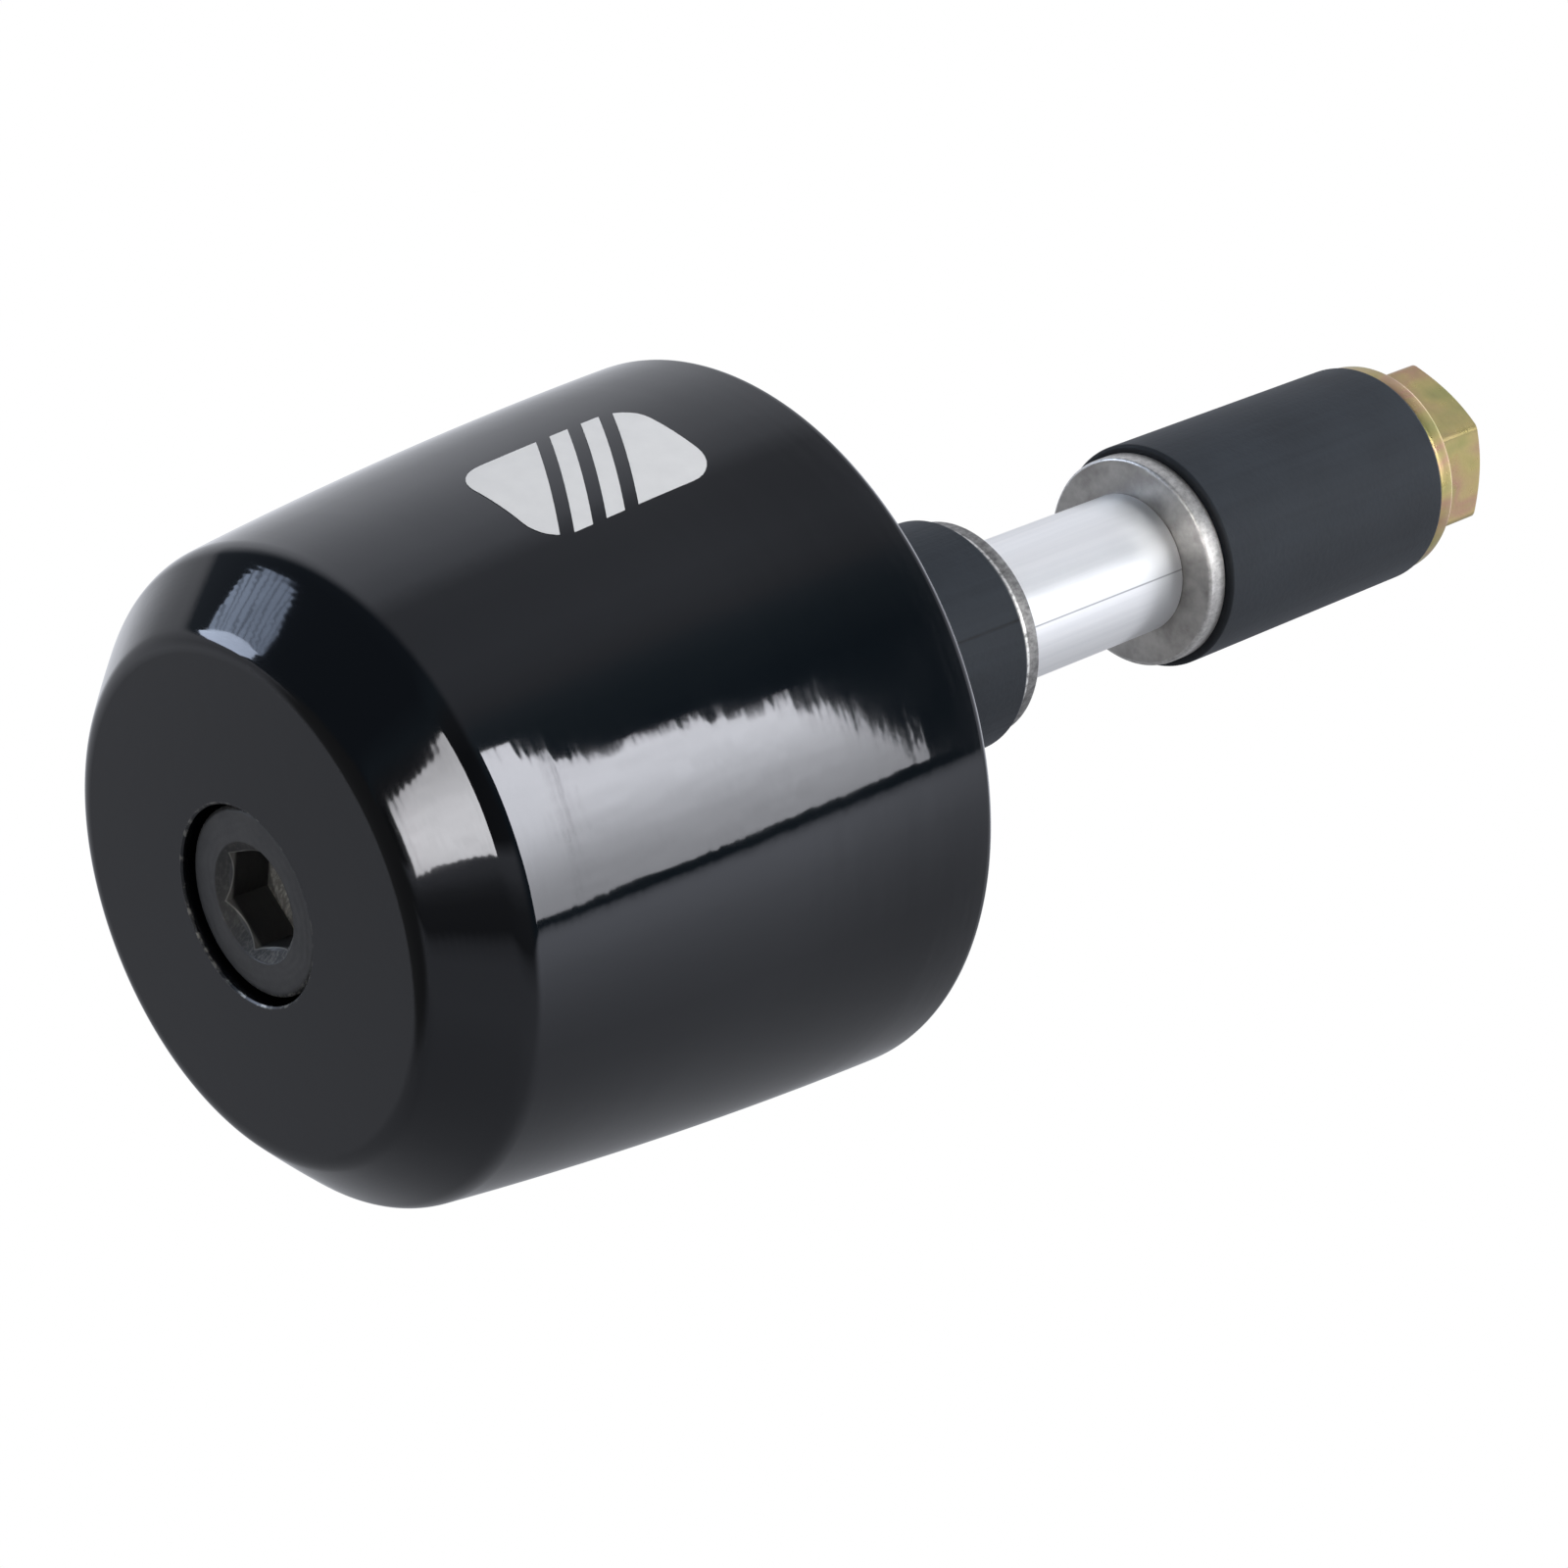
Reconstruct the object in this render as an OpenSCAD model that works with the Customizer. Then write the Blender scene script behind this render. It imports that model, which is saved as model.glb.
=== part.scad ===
// Handlebar end weight with its rubber expander stack on one long screw.
// Millimetres. It stands on the weight's outer face, at Z = 0, and Z runs along the screw
// towards the inside of the handlebar.

/* [End weight] */
// Length of the weight, from its outer face to the face that meets the bar end
weight_len = 32.4; // [24:0.1:60]
// Diameter where the sides would meet the inner face
rim_d = 39.8; // [36:0.1:60]
// Diameter where the bevel would meet the sides
shoulder_d = 34.7; // [30:0.1:39]
// Diameter where the bevel would meet the outer face
face_d = 27.2; // [18:0.1:33]
// Length of the bevel along the axis
bevel_len = 3.8; // [1:0.1:8]
// How far the sides swell beyond a straight cone
side_bulge = 0.35; // [0:0.05:1.5]
// Radius of the round between the outer face and the bevel
face_round = 1.6; // [0.2:0.1:3]
// Radius of the round between the bevel and the sides
shoulder_round = 2.4; // [0.2:0.1:4]
// Radius of the round on the inner rim
rim_round = 0.6; // [0.1:0.1:2]
// Width of the broken edge at the mouth of the counterbore
mouth_chamfer = 0.15; // [0.05:0.05:0.5]

/* [Cap screw] */
// Diameter of the shank and thread
screw_d = 6; // [4:0.5:8]
// Diameter of the head
head_d = 10; // [9:0.5:14]
// Height of the head
head_h = 6; // [4:0.5:10]
// Depth of the head below the outer face
head_recess = 0.5; // [0:0.1:3]
// Radius of the round on the edge of the head
head_round = 0.35; // [0.1:0.05:0.8]
// Width across the flats of the key socket
socket_af = 5; // [3:0.5:6]
// Depth of the flats of the key socket
socket_depth = 2.9; // [1.5:0.1:3.5]
// Width of the chamfer at the corners of the key socket's mouth
socket_chamfer = 0.3; // [0.1:0.05:0.6]
// Length of the tip that passes the nut
tip_past_nut = 0.4; // [0.2:0.1:6]
// Chamfer on the screw's tip
tip_chamfer = 0.6; // [0.2:0.1:1]

/* [Rubber sleeves] */
// Outer diameter of both sleeves
sleeve_d = 13.5; // [12:0.1:18]
// Length of the sleeve that touches the weight
short_sleeve_len = 16.4; // [6:0.1:30]
// Length of the sleeve that the nut squeezes
long_sleeve_len = 19.3; // [8:0.1:40]
// Radius of the softened edge at each end of a sleeve
sleeve_edge = 0.25; // [0.1:0.05:0.8]

/* [Washers and spacer tube] */
// Outer diameter of both washers
washer_d = 12.6; // [11:0.1:18]
// Thickness of each washer
washer_t = 1.35; // [0.8:0.05:3]
// Radius of the punched edge of a washer
washer_edge = 0.15; // [0.05:0.05:0.35]
// Outer diameter of the spacer tube
tube_d = 8.4; // [8:0.1:11]
// Length of the spacer tube
tube_len = 14.3; // [5:0.1:40]
// Radius of the softened edge at each end of the tube
tube_edge = 0.12; // [0.05:0.01:0.3]

/* [Flange nut] */
// Width across the flats
nut_af = 10; // [9:0.5:12]
// Height from the seat to the end
nut_h = 6; // [4:0.1:10]
// Diameter of the flange
flange_d = 13.1; // [12.8:0.1:18]
// Thickness of the flange at its edge
flange_edge = 1.2; // [0.6:0.1:2]
// Slope of the top of the flange, in degrees
flange_slope = 25; // [10:1:35]
// Turn of the flats about the axis, in degrees
nut_turn = 17; // [0:1:59]

/* [Clearances] */
// Gap all round the head in its counterbore
head_gap = 0.25; // [0.1:0.05:1]
// Gap all round the screw in the weight
weight_gap = 0.3; // [0.1:0.05:0.5]
// Gap all round the screw in the sleeves, washers and tube
stack_gap = 0.2; // [0.1:0.05:0.5]
// Gap all round the screw in the nut, in place of the thread's play
thread_gap = 0.03; // [0.01:0.01:0.1]

/* [Hidden] */

// Smoothness of round surfaces, and steps along a round and along the swelling sides
$fn = 96;
round_steps = 6;
side_steps = 12;

// The stack along the axis, each piece seated on the one before it
seat_z = head_recess + head_h;
short_sleeve_z = weight_len;
outer_washer_z = short_sleeve_z + short_sleeve_len;
tube_z = outer_washer_z + washer_t;
inner_washer_z = tube_z + tube_len;
long_sleeve_z = inner_washer_z + washer_t;
nut_z = long_sleeve_z + long_sleeve_len;
tip_z = nut_z + nut_h + tip_past_nut;

// Bores that follow the screw
counterbore_d = head_d + 2 * head_gap;
weight_bore_d = screw_d + 2 * weight_gap;
stack_bore_d = screw_d + 2 * stack_gap;
nut_bore_d = screw_d + 2 * thread_gap;

// A cut reaches this far past the face it starts from
cut_past = 1;

// A hexagon's corner diameter for a width across its flats
function corner_d(af) = af / cos(30);

function unit(v) = v / norm(v);
function along(a, b, t) = a + (b - a) * t;

// Points of a round on corner b, which lies between a and c.
// Its tangents use at most this share of the shorter side.
side_share = 0.45;
function round_corner(a, b, c, radius) =
    let (to_a = unit(a - b),
         to_c = unit(c - b),
         half = acos(to_a * to_c) / 2,
         reach = min(radius / tan(half), side_share * min(norm(a - b), norm(c - b))),
         r = reach * tan(half),
         centre = b + unit(to_a + to_c) * r / sin(half),
         from = b + to_a * reach - centre,
         to = b + to_c * reach - centre,
         start = atan2(from[1], from[0]),
         turn = (atan2(to[1], to[0]) - start + 540) % 360 - 180)
    [for (i = [0 : round_steps])
        let (angle = start + turn * i / round_steps)
        centre + r * [cos(angle), sin(angle)]];

// The side of the weight from the shoulder to the rim, as [radius, height]
function side_point(i) =
    let (t = i / side_steps)
    along([shoulder_d / 2, bevel_len], [rim_d / 2, weight_len], t) + [4 * side_bulge * t * (1 - t), 0];

module ring(outer_d, bore_d, length, edge) {
    outer = outer_d / 2;
    bore = bore_d / 2;
    rotate_extrude()
        polygon(concat(
            [[bore, 0]],
            round_corner([bore, 0], [outer, 0], [outer, length], edge),
            round_corner([outer, 0], [outer, length], [bore, length], edge),
            [[bore, length]]));
}

module end_weight() {
    face_corner = [face_d / 2, 0];
    shoulder_corner = side_point(0);
    rim_corner = side_point(side_steps);
    color([0.05, 0.05, 0.055])
    difference() {
        rotate_extrude()
            polygon(concat(
                [[0, 0]],
                round_corner([0, 0], face_corner, shoulder_corner, face_round),
                round_corner(face_corner, shoulder_corner, side_point(1), shoulder_round),
                [for (i = [1 : side_steps - 1]) side_point(i)],
                round_corner(side_point(side_steps - 1), rim_corner, [0, weight_len], rim_round),
                [[0, weight_len]]));
        translate([0, 0, -cut_past])
            cylinder(d = weight_bore_d, h = weight_len + 2 * cut_past);
        translate([0, 0, -cut_past])
            cylinder(d = counterbore_d, h = seat_z + cut_past);
        translate([0, 0, -cut_past])
            cylinder(d1 = counterbore_d + 2 * (mouth_chamfer + cut_past),
                     d2 = counterbore_d, h = mouth_chamfer + cut_past);
    }
}

module cap_screw() {
    head = head_d / 2;
    shank = screw_d / 2;
    socket_mouth_d = corner_d(socket_af) + 2 * socket_chamfer;
    // The mouth's cone ends just inside the flats
    socket_cone_d = 0.98 * socket_af;
    color([0.12, 0.12, 0.13])
    difference() {
        rotate_extrude()
            polygon(concat(
                [[0, head_recess]],
                round_corner([0, head_recess], [head, head_recess], [head, seat_z], head_round),
                [[head, seat_z], [shank, seat_z],
                 [shank, tip_z - tip_chamfer], [shank - tip_chamfer, tip_z], [0, tip_z]]));
        translate([0, 0, head_recess - cut_past])
            rotate([0, 0, 30])
                cylinder(d = corner_d(socket_af), h = socket_depth + cut_past, $fn = 6);
        // The mouth is chamfered and the floor is a shallow drilled cone
        translate([0, 0, head_recess - cut_past])
            cylinder(d1 = socket_mouth_d + 2 * cut_past, d2 = socket_cone_d,
                     h = cut_past + (socket_mouth_d - socket_cone_d) / 2);
        translate([0, 0, head_recess + socket_depth])
            cylinder(d1 = socket_af, d2 = 0, h = socket_af / 2 * tan(25));
    }
}

module short_rubber_sleeve() {
    color([0.17, 0.18, 0.2])
    translate([0, 0, short_sleeve_z])
        ring(sleeve_d, stack_bore_d, short_sleeve_len, sleeve_edge);
}

module washer(z) {
    color([0.66, 0.65, 0.63])
    translate([0, 0, z])
        ring(washer_d, stack_bore_d, washer_t, washer_edge);
}

module outer_washer() {
    washer(outer_washer_z);
}

module inner_washer() {
    washer(inner_washer_z);
}

module spacer_tube() {
    color([0.86, 0.87, 0.89])
    translate([0, 0, tube_z])
        ring(tube_d, stack_bore_d, tube_len, tube_edge);
}

module long_rubber_sleeve() {
    color([0.17, 0.18, 0.2])
    translate([0, 0, long_sleeve_z])
        ring(sleeve_d, stack_bore_d, long_sleeve_len, sleeve_edge);
}

module flange_nut() {
    flange = flange_d / 2;
    flat = nut_af / 2;
    corner = corner_d(nut_af) / 2;
    // The flange's cone runs a little under the flats, and the end's chamfer stops inside them
    cone_r = flat - 0.3;
    cone_z = flange_edge + (flange - cone_r) * tan(flange_slope);
    end_r = flat - 0.2;
    chamfer_h = (corner - end_r) * tan(30);
    countersink = 0.4;
    color([0.72, 0.62, 0.36])
    translate([0, 0, nut_z])
    difference() {
        union() {
            rotate_extrude()
                polygon(concat(
                    [[0, 0]],
                    round_corner([0, 0], [flange, 0], [flange, flange_edge], 0.3),
                    round_corner([flange, 0], [flange, flange_edge], [cone_r, cone_z], 0.3),
                    [[cone_r, cone_z], [0, cone_z]]));
            rotate([0, 0, nut_turn])
                intersection() {
                    translate([0, 0, flange_edge / 2])
                        cylinder(d = corner_d(nut_af), h = nut_h - flange_edge / 2, $fn = 6);
                    rotate_extrude()
                        polygon([[0, 0], [corner + 1, 0], [corner + 1, nut_h - chamfer_h],
                                 [corner, nut_h - chamfer_h], [end_r, nut_h], [0, nut_h]]);
                }
        }
        translate([0, 0, -cut_past])
            cylinder(d = nut_bore_d, h = nut_h + 2 * cut_past);
        for (end = [0, 1])
            translate([0, 0, end * nut_h])
                mirror([0, 0, end])
                    translate([0, 0, -cut_past])
                        cylinder(d1 = nut_bore_d + 2 * (countersink + cut_past), d2 = nut_bore_d,
                                 h = countersink + cut_past);
    }
}

end_weight();
cap_screw();
short_rubber_sleeve();
outer_washer();
spacer_tube();
inner_washer();
long_rubber_sleeve();
flange_nut();
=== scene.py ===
import math

import bmesh
import bpy
from mathutils import Matrix, Vector


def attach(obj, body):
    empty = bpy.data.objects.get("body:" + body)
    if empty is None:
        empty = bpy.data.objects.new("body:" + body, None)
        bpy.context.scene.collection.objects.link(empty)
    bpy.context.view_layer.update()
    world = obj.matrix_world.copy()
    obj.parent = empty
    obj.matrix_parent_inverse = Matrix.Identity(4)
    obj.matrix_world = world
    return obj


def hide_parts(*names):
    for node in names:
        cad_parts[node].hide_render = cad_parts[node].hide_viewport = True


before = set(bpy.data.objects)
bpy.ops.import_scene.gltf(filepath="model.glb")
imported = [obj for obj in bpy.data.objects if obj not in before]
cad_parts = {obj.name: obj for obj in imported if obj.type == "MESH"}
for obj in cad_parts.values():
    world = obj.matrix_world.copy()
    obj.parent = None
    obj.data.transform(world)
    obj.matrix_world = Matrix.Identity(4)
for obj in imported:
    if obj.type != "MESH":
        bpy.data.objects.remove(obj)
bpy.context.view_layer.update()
MM = 0.001


# End weight: a turned steel plug with a bevelled outer end and slightly barrelled sides,
# sprayed gloss black. The cutter left fine rings that still show under the coat, and the
# counterbore's edge has lost a little paint.
WEIGHT_LEN, RIM_R, SHOULDER_R, FACE_R, BEVEL_LEN = 32.4, 19.9, 17.35, 13.6, 3.8
SWELL, BEVEL_SWELL = 0.35, 0.05
COUNTERBORE_R, COUNTERBORE_EDGE, COUNTERBORE_DEPTH, BORE_R = 5.25, 0.09, 6.5, 3.3
RIM_REACH, SHOULDER_REACH, FACE_REACH = 0.5, 0.66, 0.66
COAT_BLACK = (0.0016, 0.002, 0.0027)
side_steps, bevel_steps = 16, 12


def lathe(profile, steps, closed=False):
    """A bmesh turned about Z from (radius, height) points in millimetres."""
    bm = bmesh.new()
    verts = [bm.verts.new((r * MM, 0, z * MM)) for r, z in profile]
    pairs = list(zip(verts, verts[1:])) + ([(verts[-1], verts[0])] if closed else [])
    edges = [bm.edges.new(pair) for pair in pairs]
    bmesh.ops.spin(bm, geom=verts + edges, cent=(0, 0, 0), axis=(0, 0, 1), dvec=(0, 0, 0),
                   angle=math.tau, steps=steps, use_merge=True, use_duplicate=False)
    bmesh.ops.remove_doubles(bm, verts=bm.verts, dist=1e-7)
    bmesh.ops.recalc_face_normals(bm, faces=bm.faces)
    return bm


def piece(name, bm, finish, replaces=None, sharp=35):
    """Makes the mesh an object that rides with the part."""
    mesh = bpy.data.meshes.new(name)
    bm.to_mesh(mesh)
    bm.free()
    mesh.shade_smooth()
    mesh.set_sharp_from_angle(angle=math.radians(sharp))
    obj = bpy.data.objects.new(name, mesh)
    bpy.context.scene.collection.objects.link(obj)
    mesh.materials.append(finish)
    even = obj.modifiers.new("even_normals", 'WEIGHTED_NORMAL')
    even.keep_sharp = True
    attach(obj, "root")
    if replaces:
        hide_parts(replaces)


def side_radius(z):
    """Radius of the weight's barrelled side at a height."""
    t = (z - BEVEL_LEN) / (WEIGHT_LEN - BEVEL_LEN)
    return SHOULDER_R + (RIM_R - SHOULDER_R) * t + 4 * SWELL * t * (1 - t)


def rounded(profile, at, reach, count):
    """The profile with the corner at that index drawn as a curve that starts and ends at the reach."""
    def walk(step):
        left, i = reach, at
        while (Vector(profile[i + step]) - Vector(profile[i])).length < left:
            left -= (Vector(profile[i + step]) - Vector(profile[i])).length
            i += step
        here, there = Vector(profile[i]), Vector(profile[i + step])
        return here + (there - here).normalized() * left, i + step
    (start, before), (end, after) = walk(-1), walk(1)
    corner = Vector(profile[at])
    curve = [start * (1 - t) ** 2 + corner * 2 * t * (1 - t) + end * t * t
             for t in (k / count for k in range(count + 1))]
    return profile[:before + 1] + [tuple(point) for point in curve] + profile[after:]


side = [BEVEL_LEN + (WEIGHT_LEN - BEVEL_LEN) * i / side_steps for i in range(side_steps + 1)]
bevel_out = Vector((BEVEL_LEN, FACE_R - SHOULDER_R)).normalized() * 4 * BEVEL_SWELL
bevel = [(FACE_R + (SHOULDER_R - FACE_R) * t + bevel_out.x * t * (1 - t),
          BEVEL_LEN * t + bevel_out.y * t * (1 - t))
         for t in (i / bevel_steps for i in range(bevel_steps + 1))]
outline = ([(COUNTERBORE_R + COUNTERBORE_EDGE, 0)] + bevel + [(side_radius(z), z) for z in side[1:]]
           + [(BORE_R, WEIGHT_LEN), (BORE_R, COUNTERBORE_DEPTH), (COUNTERBORE_R, COUNTERBORE_DEPTH),
              (COUNTERBORE_R, COUNTERBORE_EDGE)])
face_corner, shoulder_corner = 1, 1 + bevel_steps
outline = rounded(outline, shoulder_corner + side_steps, RIM_REACH, 8)
outline = rounded(outline, shoulder_corner, SHOULDER_REACH, 12)
outline = rounded(outline, face_corner, FACE_REACH, 10)
bm = lathe(outline, 256, closed=True)


class Nodes:
    """A short way to add and join the nodes of a finish or of a shared group."""

    def __init__(self, tree):
        self.tree = tree

    def add(self, kind, inputs=None, **settings):
        node = self.tree.nodes.new(kind)
        for key, value in settings.items():
            setattr(node, key, value)
        for key, value in (inputs or {}).items():
            if isinstance(value, bpy.types.NodeSocket):
                self.tree.links.new(value, node.inputs[key])
            else:
                node.inputs[key].default_value = value
        return node

    def math(self, operation, a, b=0.0, c=0.0):
        inputs = {0: a, 1: b, 2: c} if operation == 'MULTIPLY_ADD' else {0: a, 1: b}
        return self.add('ShaderNodeMath', inputs, operation=operation).outputs[0]

    def ramp(self, factor, stops):
        node = self.add('ShaderNodeValToRGB', {0: factor})
        ramp = node.color_ramp
        while len(ramp.elements) < len(stops):
            ramp.elements.new(0.5)
        for element, (position, colour) in zip(ramp.elements, stops):
            element.position = position
        for element, (position, colour) in zip(ramp.elements, stops):
            element.color = (*colour, 1) if isinstance(colour, tuple) else (colour, colour, colour, 1)
        return node.outputs[0]

    def range(self, value, low, high, to_low=0.0, to_high=1.0, smooth=False):
        return self.add('ShaderNodeMapRange', {0: value, 1: low, 2: high, 3: to_low, 4: to_high},
                        interpolation_type='SMOOTHSTEP' if smooth else 'LINEAR').outputs[0]

    def between(self, value, low, low_end, high, high_end):
        """1 where the value lies in a band with soft ends, 0 elsewhere."""
        return self.math('MULTIPLY', self.range(value, low, low_end), self.range(value, high, high_end))

    def noise(self, vector, scale, detail=2.0, roughness=0.5, distortion=0.0):
        return self.add('ShaderNodeTexNoise', {'Vector': vector, 'Scale': scale, 'Detail': detail,
                                               'Roughness': roughness, 'Distortion': distortion}).outputs[0]

    def stretch(self, vector, scale=(1, 1, 1), rotation=(0, 0, 0), location=(0, 0, 0)):
        return self.add('ShaderNodeMapping', {'Vector': vector, 'Scale': scale, 'Rotation': rotation,
                                              'Location': location}).outputs[0]

    def axes(self, vector):
        return self.add('ShaderNodeSeparateXYZ', {0: vector}).outputs

    def radius(self, axes):
        """Distance from the screw's axis."""
        return self.math('SQRT', self.math('ADD', self.math('MULTIPLY', axes[0], axes[0]),
                                           self.math('MULTIPLY', axes[1], axes[1])))

    def mix(self, factor, a, b, blend='MIX'):
        node = self.add('ShaderNodeMix', data_type='RGBA', blend_type=blend)
        for socket, value in ((node.inputs[0], factor), (node.inputs[6], a), (node.inputs[7], b)):
            if isinstance(value, bpy.types.NodeSocket):
                self.tree.links.new(value, socket)
            else:
                socket.default_value = (*value, 1) if isinstance(value, tuple) else value
        return node.outputs[2]

    def bump(self, height, distance, under=None):
        """Relief of that depth in metres, laid over another relief if one is given."""
        inputs = {'Strength': 1.0, 'Distance': distance, 'Height': height}
        if under is not None:
            inputs['Normal'] = under
        return self.add('ShaderNodeBump', inputs).outputs[0]

    def join(self, **sockets):
        """Leads each value to the shader's socket of that name."""
        shader = self.tree.nodes["Principled BSDF"]
        for key, value in sockets.items():
            self.tree.links.new(value, shader.inputs[key.replace("_", " ")])


def finish(name, **sockets):
    """A new material with those plain values, its nodes and its object coordinates."""
    material = bpy.data.materials.new(name)
    material.use_nodes = True
    nodes = Nodes(material.node_tree)
    shader = material.node_tree.nodes["Principled BSDF"]
    for key, value in sockets.items():
        socket = shader.inputs[key.replace("_", " ")]
        socket.default_value = (*value, 1) if isinstance(value, tuple) else value
    return material, nodes, nodes.add('ShaderNodeTexCoord').outputs['Object']


def effect(name, inputs, outputs):
    """A shared node group with named float inputs and outputs, and a Place input."""
    group = bpy.data.node_groups.new(name, 'ShaderNodeTree')
    group.interface.new_socket("Place", in_out='INPUT', socket_type='NodeSocketVector')
    for key, value in inputs.items():
        group.interface.new_socket(key, in_out='INPUT', socket_type='NodeSocketFloat').default_value = value
    for key in outputs:
        group.interface.new_socket(key, in_out='OUTPUT', socket_type='NodeSocketFloat')
    nodes = Nodes(group)
    return group, nodes, nodes.add('NodeGroupInput').outputs, nodes.add('NodeGroupOutput').inputs


# Rings left by a turning tool: fine waves across the cut, and slower wander of the tool
turning_marks, g, given, result = effect("turning_marks", {"Pitch": 0.35, "Wander": 1.0}, ["Fine", "Slow"])
axes = g.axes(given["Place"])
across = g.math('ADD', g.math('MULTIPLY', axes[2], 750.0), g.math('MULTIPLY', g.radius(axes), 650.0))
wobble = g.noise(given["Place"], 260.0)
shift = g.math('MULTIPLY', wobble, g.math('MULTIPLY', given["Wander"], 2.2))
phase = g.math('ADD', g.math('DIVIDE', across, given["Pitch"]), shift)
fine = g.math('SINE', g.math('MULTIPLY', phase, math.tau))
g.tree.links.new(g.math('MULTIPLY_ADD', fine, 0.5, 0.5), result["Fine"])
slow = g.noise(g.stretch(given["Place"], (0.12, 0.12, 1.0)), 270.0, 3.6, 0.42)
g.tree.links.new(slow, result["Slow"])

black_coat, n, place = finish("gloss_black_coat", Base_Color=COAT_BLACK, Roughness=0.06,
                              Specular_Tint=(0.975, 1.0, 1.075))
marks = n.add('ShaderNodeGroup', {"Place": place, "Pitch": 0.36, "Wander": 1.0}, node_tree=turning_marks)
axes = n.axes(place)
near_shoulder = n.range(axes[2], 0.0125, 0.004, smooth=True)
off_face = n.range(axes[2], 0.0001, 0.0006)
rings = n.math('MULTIPLY', n.math('MULTIPLY', marks.outputs["Fine"], near_shoulder), off_face)
wander = n.bump(marks.outputs["Slow"], 0.00003, under=n.bump(rings, 0.00000035))
orange_peel = n.bump(n.noise(place, 700.0), 0.000004, under=wander)
bore_rim = n.math('MULTIPLY', n.range(n.radius(axes), 0.00541, 0.00536), n.range(axes[2], 0.0002, 0.00012))
chipped = n.math('MULTIPLY', bore_rim, n.range(n.noise(place, 1500.0, 3.0, 0.6), 0.5, 0.6))
coat_rough = n.range(n.noise(place, 240.0, 3.0), 0.3, 0.75, 0.04, 0.075)
n.join(Base_Color=n.mix(chipped, COAT_BLACK, (0.2, 0.195, 0.18)),
       Metallic=n.math('MULTIPLY', chipped, 0.9),
       Roughness=n.math('MULTIPLY_ADD', bore_rim, 0.3, coat_rough),
       Normal=orange_peel)
piece("end_weight_turned", bm, black_coat, "end_weight")


# Printed mark: one thin coat of light grey ink on the weight's side. It is a plain bar with
# rounded corners, with slanted slots through its middle.
MARK_FROM, MARK_TO, MARK_WIDE, MARK_CORNER, MARK_AT = 14.1, 25.5, 7.5, 1.9, math.radians(-90)
SLOTS, SLOT_WIDE, SLOT_STEP, SLOT_SLANT = 3, 0.75, 1.75, math.radians(32)
INK_LIFT, INK_THICK = 0.012, 0.02
mark_columns, mark_rows = 16, 12


def cut_mark(at, along):
    bmesh.ops.bisect_plane(bm, geom=bm.verts[:] + bm.edges[:] + bm.faces[:], plane_co=at, plane_no=along)


bm = bmesh.new()
middle = Vector((0, (MARK_FROM + MARK_TO) / 2, 0))
corners = [(-MARK_WIDE / 2, MARK_FROM), (MARK_WIDE / 2, MARK_FROM),
           (MARK_WIDE / 2, MARK_TO), (-MARK_WIDE / 2, MARK_TO)]
bm.faces.new([bm.verts.new((x, y, 0)) for x, y in corners])
bmesh.ops.bevel(bm, geom=bm.verts[:], offset=MARK_CORNER, offset_type='OFFSET', segments=8, profile=0.5,
                affect='VERTICES', material=-1)
slant = Vector((math.sin(SLOT_SLANT), math.cos(SLOT_SLANT), 0))
slot_middles = [(i - (SLOTS - 1) / 2) * SLOT_STEP for i in range(SLOTS)]
for slot_middle in slot_middles:
    for edge in (-SLOT_WIDE / 2, SLOT_WIDE / 2):
        cut_mark(middle + slant * (slot_middle + edge), slant)
in_slot = [f for f in bm.faces
           if any(abs((f.calc_center_median() - middle).dot(slant) - m) < SLOT_WIDE / 2 for m in slot_middles)]
bmesh.ops.delete(bm, geom=in_slot, context='FACES')
for i in range(1, mark_columns):
    cut_mark((-MARK_WIDE / 2 + MARK_WIDE * i / mark_columns, 0, 0), (1, 0, 0))
for i in range(1, mark_rows):
    cut_mark((0, MARK_FROM + (MARK_TO - MARK_FROM) * i / mark_rows, 0), (0, 1, 0))
for v in bm.verts:
    r = side_radius(v.co.y) + INK_LIFT
    angle = MARK_AT + v.co.x / r
    v.co = Vector((r * math.cos(angle), r * math.sin(angle), v.co.y)) * MM
bmesh.ops.recalc_face_normals(bm, faces=bm.faces)
if sum(f.normal.xy.dot(f.calc_center_median().xy) for f in bm.faces) < 0:
    bmesh.ops.reverse_faces(bm, faces=bm.faces)
bmesh.ops.solidify(bm, geom=bm.faces[:], thickness=-INK_THICK * MM)

grey_ink, n, place = finish("light_grey_ink", Base_Color=(0.6, 0.6, 0.6), Roughness=0.42)
n.join(Base_Color=n.mix(n.noise(place, 900.0, 3.0), (0.52, 0.52, 0.525), (0.59, 0.59, 0.59)),
       Normal=n.bump(n.noise(place, 2500.0), 0.000004))
piece("printed_mark", bm, grey_ink)


# Cap screw: a long M6 screw in black oxide steel, whose head sits in the counterbore just
# below the outer face. The hexagon socket's mouth is chamfered, so each flat starts with a
# curved edge, and its floor is a punched cone.
HEAD_R, HEAD_TOP, HEAD_SEAT, HEAD_EDGE, SHANK_R, TIP = 5.0, 0.5, 6.5, 0.35, 3.0, 91.5
SOCKET_FLAT, SOCKET_MOUTH, SOCKET_DEPTH, SOCKET_TURN = 2.5, 3.19, 2.9, math.radians(30)
SOCKET_RING, CONE_R, CONE_DEEP = 2.8, 2.42, 1.1
THREAD_FROM, THREAD_PITCH, THREAD_DEEP, TIP_R = 88.6, 1.0, 0.5, 2.4
OXIDE, OXIDE_GREY, BARE_STEEL = (0.03, 0.03, 0.032), (0.062, 0.062, 0.065), (0.62, 0.6, 0.54)


def ring_verts(bm, radius, height):
    return [v for v in bm.verts
            if abs(math.hypot(v.co.x, v.co.y) - radius * MM) < 1e-6 and abs(v.co.z - height * MM) < 1e-6]


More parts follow.
